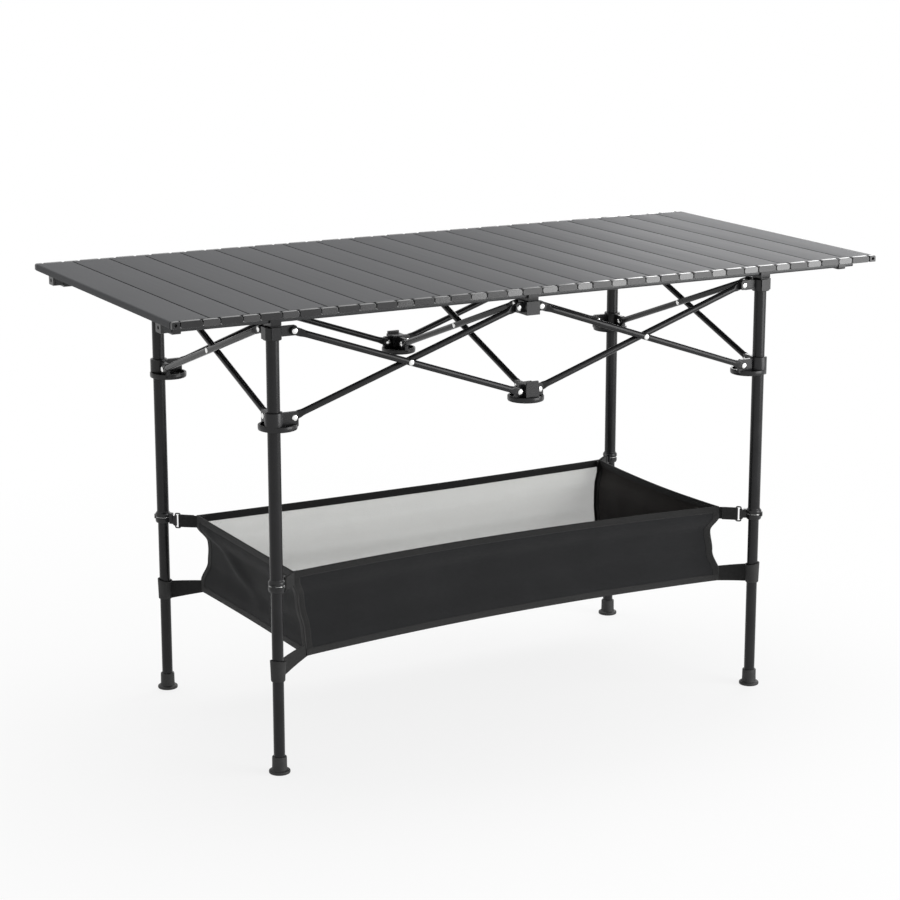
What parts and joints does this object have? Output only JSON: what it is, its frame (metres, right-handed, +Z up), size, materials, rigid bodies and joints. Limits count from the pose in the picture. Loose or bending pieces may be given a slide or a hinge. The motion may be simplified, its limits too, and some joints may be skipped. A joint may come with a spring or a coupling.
{
  "type": "folding camp table",
  "caption": "Folding camp table with a roll-up slatted metal top, a black scissor frame on telescoping legs and a hanging fabric basket.",
  "frame": {"origin": "on the floor, under the centre of the top", "axes": "+X along the top's length, towards the viewer's right; +Y towards the back, where the basket's mesh wall is; +Z up"},
  "size_m": [1.1992, 0.56, 0.704],
  "materials": {
    "top_paint": "brushed dark grey anodised aluminium, satin",
    "rail_paint": "dark grey, satin",
    "frame_paint": "black powder coat",
    "hub_plastic": "black moulded nylon",
    "basket_cloth": "coarse black woven cloth with a pale mesh back wall"
  },
  "bodies": {
    "centre": {"hub_upper_mid_front": "hub_plastic", "rail_front": "rail_paint", "basket": "basket_cloth"},
    "front_b_outer": {"tube_front_b_outer": "frame_paint"},
    "front_b_inner": {"tube_front_b_inner": "frame_paint"},
    "stand_fr": {"leg_upper_fr": "frame_paint", "hub_upper_fr": "hub_plastic"},
    "runner_fr": {"slider_fr": "hub_plastic"},
    "lower_mid_front": {"hub_lower_mid_front": "hub_plastic"},
    "front_a_inner": {"tube_front_a_inner": "frame_paint"},
    "front_a_outer": {"tube_front_a_outer": "frame_paint"},
    "stand_fl": {"leg_upper_fl": "frame_paint", "hub_upper_fl": "hub_plastic"},
    "runner_fl": {"slider_fl": "hub_plastic"},
    "left_outer": {"tube_left_outer": "frame_paint"},
    "left_inner": {"tube_left_inner": "frame_paint"},
    "stand_bl": {"leg_upper_bl": "frame_paint", "hub_upper_bl": "hub_plastic"},
    "runner_bl": {"slider_bl": "hub_plastic"},
    "right_inner": {"tube_right_inner": "frame_paint"},
    "right_outer": {"tube_right_outer": "frame_paint"},
    "stand_br": {"leg_upper_br": "frame_paint", "hub_upper_br": "hub_plastic"},
    "runner_br": {"slider_br": "hub_plastic"},
    "middle_outer": {"tube_middle_outer": "frame_paint"},
    "middle_inner": {"tube_middle_inner": "frame_paint"},
    "hub_mid_back": {"hub_upper_mid_back": "hub_plastic", "rail_back": "rail_paint"},
    "lower_mid_back": {"hub_lower_mid_back": "hub_plastic"},
    "back_b_outer": {"tube_back_b_outer": "frame_paint"},
    "back_b_inner": {"tube_back_b_inner": "frame_paint"},
    "back_a_inner": {"tube_back_a_inner": "frame_paint"},
    "back_a_outer": {"tube_back_a_outer": "frame_paint"},
    "foot_fl": {"leg_lower_fl": "frame_paint"},
    "foot_fr": {"leg_lower_fr": "frame_paint"},
    "foot_bl": {"leg_lower_bl": "frame_paint"},
    "foot_br": {"leg_lower_br": "frame_paint"},
    "plank_01": {"slat_01": "top_paint"},
    "plank_02": {"slat_02": "top_paint"},
    "plank_03": {"slat_03": "top_paint"},
    "plank_04": {"slat_04": "top_paint"},
    "plank_05": {"slat_05": "top_paint"},
    "plank_06": {"slat_06": "top_paint"},
    "plank_07": {"slat_07": "top_paint"},
    "plank_08": {"slat_08": "top_paint"},
    "plank_09": {"slat_09": "top_paint"},
    "plank_10": {"slat_10": "top_paint"},
    "plank_11": {"slat_11": "top_paint"},
    "plank_12": {"slat_12": "top_paint"},
    "plank_13": {"slat_13": "top_paint"},
    "plank_14": {"slat_14": "top_paint"},
    "plank_15": {"slat_15": "top_paint"},
    "plank_16": {"slat_16": "top_paint"},
    "plank_17": {"slat_17": "top_paint"},
    "plank_18": {"slat_18": "top_paint"},
    "plank_19": {"slat_19": "top_paint"},
    "plank_20": {"slat_20": "top_paint"}
  },
  "joints": [
    {"name": "frame_fold", "type": "hinge", "parent": "centre", "child": "front_b_outer", "pos_m": [0.018, -0.22315, 0.664], "axis": [0, 1, 0], "range_deg": [0, 42], "deforming": ["basket"]},
    {"name": "cross_front_b", "type": "hinge", "parent": "front_b_outer", "child": "front_b_inner", "pos_m": [0.204, -0.218, 0.6], "axis": [0, 1, 0], "range_deg": [-84, 0]},
    {"name": "top_fr_x", "type": "hinge", "parent": "front_b_inner", "child": "stand_fr", "pos_m": [0.39, -0.21285, 0.664], "axis": [0, 1, 0], "range_deg": [0, 42]},
    {"name": "low_fr_x", "type": "hinge", "parent": "front_b_outer", "child": "runner_fr", "pos_m": [0.39, -0.22315, 0.536], "axis": [0, 1, 0], "range_deg": [-42, 0]},
    {"name": "low_mid_front_e", "type": "hinge", "parent": "front_b_inner", "child": "lower_mid_front", "pos_m": [0.018, -0.21285, 0.536], "axis": [0, 1, 0], "range_deg": [0, 42]},
    {"name": "top_mid_front_w", "type": "hinge", "parent": "centre", "child": "front_a_inner", "pos_m": [-0.018, -0.21285, 0.664], "axis": [0, 1, 0], "range_deg": [-42, 0]},
    {"name": "cross_front_a", "type": "hinge", "parent": "front_a_inner", "child": "front_a_outer", "pos_m": [-0.204, -0.218, 0.6], "axis": [0, 1, 0], "range_deg": [0, 84]},
    {"name": "top_fl_x", "type": "hinge", "parent": "front_a_outer", "child": "stand_fl", "pos_m": [-0.39, -0.22315, 0.664], "axis": [0, 1, 0], "range_deg": [-42, 0]},
    {"name": "low_fl_x", "type": "hinge", "parent": "front_a_inner", "child": "runner_fl", "pos_m": [-0.39, -0.21285, 0.536], "axis": [0, 1, 0], "range_deg": [0, 42]},
    {"name": "top_fl_y", "type": "hinge", "parent": "stand_fl", "child": "left_outer", "pos_m": [-0.42715, -0.186, 0.664], "axis": [-1, 0, 0], "range_deg": [0, 42]},
    {"name": "cross_left", "type": "hinge", "parent": "left_outer", "child": "left_inner", "pos_m": [-0.422, 0, 0.6], "axis": [-1, 0, 0], "range_deg": [-84, 0]},
    {"name": "top_bl_y", "type": "hinge", "parent": "left_inner", "child": "stand_bl", "pos_m": [-0.41685, 0.186, 0.664], "axis": [-1, 0, 0], "range_deg": [0, 42]},
    {"name": "low_bl_y", "type": "hinge", "parent": "left_outer", "child": "runner_bl", "pos_m": [-0.42715, 0.186, 0.536], "axis": [-1, 0, 0], "range_deg": [-42, 0]},
    {"name": "top_fr_y", "type": "hinge", "parent": "stand_fr", "child": "right_inner", "pos_m": [0.41685, -0.186, 0.664], "axis": [-1, 0, 0], "range_deg": [0, 42]},
    {"name": "cross_right", "type": "hinge", "parent": "right_inner", "child": "right_outer", "pos_m": [0.422, 0, 0.6], "axis": [-1, 0, 0], "range_deg": [-84, 0]},
    {"name": "top_br_y", "type": "hinge", "parent": "right_outer", "child": "stand_br", "pos_m": [0.42715, 0.186, 0.664], "axis": [-1, 0, 0], "range_deg": [0, 42]},
    {"name": "low_br_y", "type": "hinge", "parent": "right_inner", "child": "runner_br", "pos_m": [0.41685, 0.186, 0.536], "axis": [-1, 0, 0], "range_deg": [-42, 0]},
    {"name": "top_mid_front_y", "type": "hinge", "parent": "centre", "child": "middle_outer", "pos_m": [-0.00515, -0.186, 0.664], "axis": [-1, 0, 0], "range_deg": [0, 42]},
    {"name": "cross_middle", "type": "hinge", "parent": "middle_outer", "child": "middle_inner", "pos_m": [0, 0, 0.6], "axis": [-1, 0, 0], "range_deg": [-84, 0]},
    {"name": "top_mid_back_y", "type": "hinge", "parent": "middle_inner", "child": "hub_mid_back", "pos_m": [0.00515, 0.186, 0.664], "axis": [-1, 0, 0], "range_deg": [0, 42]},
    {"name": "low_mid_back_y", "type": "hinge", "parent": "middle_outer", "child": "lower_mid_back", "pos_m": [-0.00515, 0.186, 0.536], "axis": [-1, 0, 0], "range_deg": [-42, 0]},
    {"name": "top_mid_back_w", "type": "hinge", "parent": "hub_mid_back", "child": "back_b_outer", "pos_m": [-0.018, 0.22315, 0.664], "axis": [0, 1, 0], "range_deg": [-42, 0]},
    {"name": "cross_back_b", "type": "hinge", "parent": "back_b_outer", "child": "back_b_inner", "pos_m": [-0.204, 0.218, 0.6], "axis": [0, 1, 0], "range_deg": [0, 84]},
    {"name": "top_mid_back_e", "type": "hinge", "parent": "hub_mid_back", "child": "back_a_inner", "pos_m": [0.018, 0.21285, 0.664], "axis": [0, 1, 0], "range_deg": [0, 42]},
    {"name": "cross_back_a", "type": "hinge", "parent": "back_a_inner", "child": "back_a_outer", "pos_m": [0.204, 0.218, 0.6], "axis": [0, 1, 0], "range_deg": [-84, 0]},
    {"name": "leg_slide_fl", "type": "slide", "parent": "stand_fl", "child": "foot_fl", "axis": [0, 0, 1], "range_m": [0, 0.108]},
    {"name": "leg_slide_fr", "type": "slide", "parent": "stand_fr", "child": "foot_fr", "axis": [0, 0, 1], "range_m": [0, 0.108]},
    {"name": "leg_slide_bl", "type": "slide", "parent": "stand_bl", "child": "foot_bl", "axis": [0, 0, 1], "range_m": [0, 0.108]},
    {"name": "leg_slide_br", "type": "slide", "parent": "stand_br", "child": "foot_br", "axis": [0, 0, 1], "range_m": [0, 0.108]},
    {"name": "top_lift", "type": "slide", "parent": "centre", "child": "plank_09", "axis": [0, 0, 1], "range_m": [0, 0.25]},
    {"name": "top_roll", "type": "hinge", "parent": "plank_09", "child": "plank_10", "pos_m": [-0.06, 0, 0.704], "axis": [0, -1, 0], "range_deg": [0, 37.9]},
    {"name": "roll_10", "type": "hinge", "parent": "plank_10", "child": "plank_11", "pos_m": [0, 0, 0.704], "axis": [0, -1, 0], "range_deg": [0, 39]},
    {"name": "roll_11", "type": "hinge", "parent": "plank_11", "child": "plank_12", "pos_m": [0.06, 0, 0.704], "axis": [0, -1, 0], "range_deg": [0, 40.3]},
    {"name": "roll_12", "type": "hinge", "parent": "plank_12", "child": "plank_13", "pos_m": [0.12, 0, 0.704], "axis": [0, -1, 0], "range_deg": [0, 41.6]},
    {"name": "roll_13", "type": "hinge", "parent": "plank_13", "child": "plank_14", "pos_m": [0.18, 0, 0.704], "axis": [0, -1, 0], "range_deg": [0, 43.1]},
    {"name": "roll_14", "type": "hinge", "parent": "plank_14", "child": "plank_15", "pos_m": [0.24, 0, 0.704], "axis": [0, -1, 0], "range_deg": [0, 44.8]},
    {"name": "roll_15", "type": "hinge", "parent": "plank_15", "child": "plank_16", "pos_m": [0.3, 0, 0.704], "axis": [0, -1, 0], "range_deg": [0, 46.7]},
    {"name": "roll_16", "type": "hinge", "parent": "plank_16", "child": "plank_17", "pos_m": [0.36, 0, 0.704], "axis": [0, -1, 0], "range_deg": [0, 48.9]},
    {"name": "roll_17", "type": "hinge", "parent": "plank_17", "child": "plank_18", "pos_m": [0.42, 0, 0.704], "axis": [0, -1, 0], "range_deg": [0, 51.5]},
    {"name": "roll_18", "type": "hinge", "parent": "plank_18", "child": "plank_19", "pos_m": [0.48, 0, 0.704], "axis": [0, -1, 0], "range_deg": [0, 54.5]},
    {"name": "roll_19", "type": "hinge", "parent": "plank_19", "child": "plank_20", "pos_m": [0.54, 0, 0.704], "axis": [0, -1, 0], "range_deg": [0, 58.1]},
    {"name": "roll_08", "type": "hinge", "parent": "plank_09", "child": "plank_08", "pos_m": [-0.12, 0, 0.704], "axis": [0, 1, 0], "range_deg": [0, 36.9]},
    {"name": "roll_07", "type": "hinge", "parent": "plank_08", "child": "plank_07", "pos_m": [-0.18, 0, 0.704], "axis": [0, 1, 0], "range_deg": [0, 35.9]},
    {"name": "roll_06", "type": "hinge", "parent": "plank_07", "child": "plank_06", "pos_m": [-0.24, 0, 0.704], "axis": [0, 1, 0], "range_deg": [0, 35]},
    {"name": "roll_05", "type": "hinge", "parent": "plank_06", "child": "plank_05", "pos_m": [-0.3, 0, 0.704], "axis": [0, 1, 0], "range_deg": [0, 34.2]},
    {"name": "roll_04", "type": "hinge", "parent": "plank_05", "child": "plank_04", "pos_m": [-0.36, 0, 0.704], "axis": [0, 1, 0], "range_deg": [0, 33.5]},
    {"name": "roll_03", "type": "hinge", "parent": "plank_04", "child": "plank_03", "pos_m": [-0.42, 0, 0.704], "axis": [0, 1, 0], "range_deg": [0, 32.8]},
    {"name": "roll_02", "type": "hinge", "parent": "plank_03", "child": "plank_02", "pos_m": [-0.48, 0, 0.704], "axis": [0, 1, 0], "range_deg": [0, 32.1]},
    {"name": "roll_01", "type": "hinge", "parent": "plank_02", "child": "plank_01", "pos_m": [-0.54, 0, 0.704], "axis": [0, 1, 0], "range_deg": [0, 31.5]}
  ],
  "couplings": [
    {"joint": "cross_front_b", "follows": "frame_fold", "ratio": -2},
    {"joint": "top_fr_x", "follows": "frame_fold", "ratio": 1},
    {"joint": "low_fr_x", "follows": "frame_fold", "ratio": -1},
    {"joint": "low_mid_front_e", "follows": "frame_fold", "ratio": 1},
    {"joint": "top_mid_front_w", "follows": "frame_fold", "ratio": -1},
    {"joint": "cross_front_a", "follows": "frame_fold", "ratio": 2},
    {"joint": "top_fl_x", "follows": "frame_fold", "ratio": -1},
    {"joint": "low_fl_x", "follows": "frame_fold", "ratio": 1},
    {"joint": "top_fl_y", "follows": "frame_fold", "ratio": 1},
    {"joint": "cross_left", "follows": "frame_fold", "ratio": -2},
    {"joint": "top_bl_y", "follows": "frame_fold", "ratio": 1},
    {"joint": "low_bl_y", "follows": "frame_fold", "ratio": -1},
    {"joint": "top_fr_y", "follows": "frame_fold", "ratio": 1},
    {"joint": "cross_right", "follows": "frame_fold", "ratio": -2},
    {"joint": "top_br_y", "follows": "frame_fold", "ratio": 1},
    {"joint": "low_br_y", "follows": "frame_fold", "ratio": -1},
    {"joint": "top_mid_front_y", "follows": "frame_fold", "ratio": 1},
    {"joint": "cross_middle", "follows": "frame_fold", "ratio": -2},
    {"joint": "top_mid_back_y", "follows": "frame_fold", "ratio": 1},
    {"joint": "low_mid_back_y", "follows": "frame_fold", "ratio": -1},
    {"joint": "top_mid_back_w", "follows": "frame_fold", "ratio": -1},
    {"joint": "cross_back_b", "follows": "frame_fold", "ratio": 2},
    {"joint": "top_mid_back_e", "follows": "frame_fold", "ratio": 1},
    {"joint": "cross_back_a", "follows": "frame_fold", "ratio": -2},
    {"joint": "roll_10", "follows": "top_roll", "ratio": 1.029},
    {"joint": "roll_11", "follows": "top_roll", "ratio": 1.0633},
    {"joint": "roll_12", "follows": "top_roll", "ratio": 1.0976},
    {"joint": "roll_13", "follows": "top_roll", "ratio": 1.1372},
    {"joint": "roll_14", "follows": "top_roll", "ratio": 1.1821},
    {"joint": "roll_15", "follows": "top_roll", "ratio": 1.2322},
    {"joint": "roll_16", "follows": "top_roll", "ratio": 1.2902},
    {"joint": "roll_17", "follows": "top_roll", "ratio": 1.3588},
    {"joint": "roll_18", "follows": "top_roll", "ratio": 1.438},
    {"joint": "roll_19", "follows": "top_roll", "ratio": 1.533},
    {"joint": "roll_08", "follows": "top_roll", "ratio": 0.9736},
    {"joint": "roll_07", "follows": "top_roll", "ratio": 0.9472},
    {"joint": "roll_06", "follows": "top_roll", "ratio": 0.9235},
    {"joint": "roll_05", "follows": "top_roll", "ratio": 0.9024},
    {"joint": "roll_04", "follows": "top_roll", "ratio": 0.8839},
    {"joint": "roll_03", "follows": "top_roll", "ratio": 0.8654},
    {"joint": "roll_02", "follows": "top_roll", "ratio": 0.847},
    {"joint": "roll_01", "follows": "top_roll", "ratio": 0.8311}
  ]
}
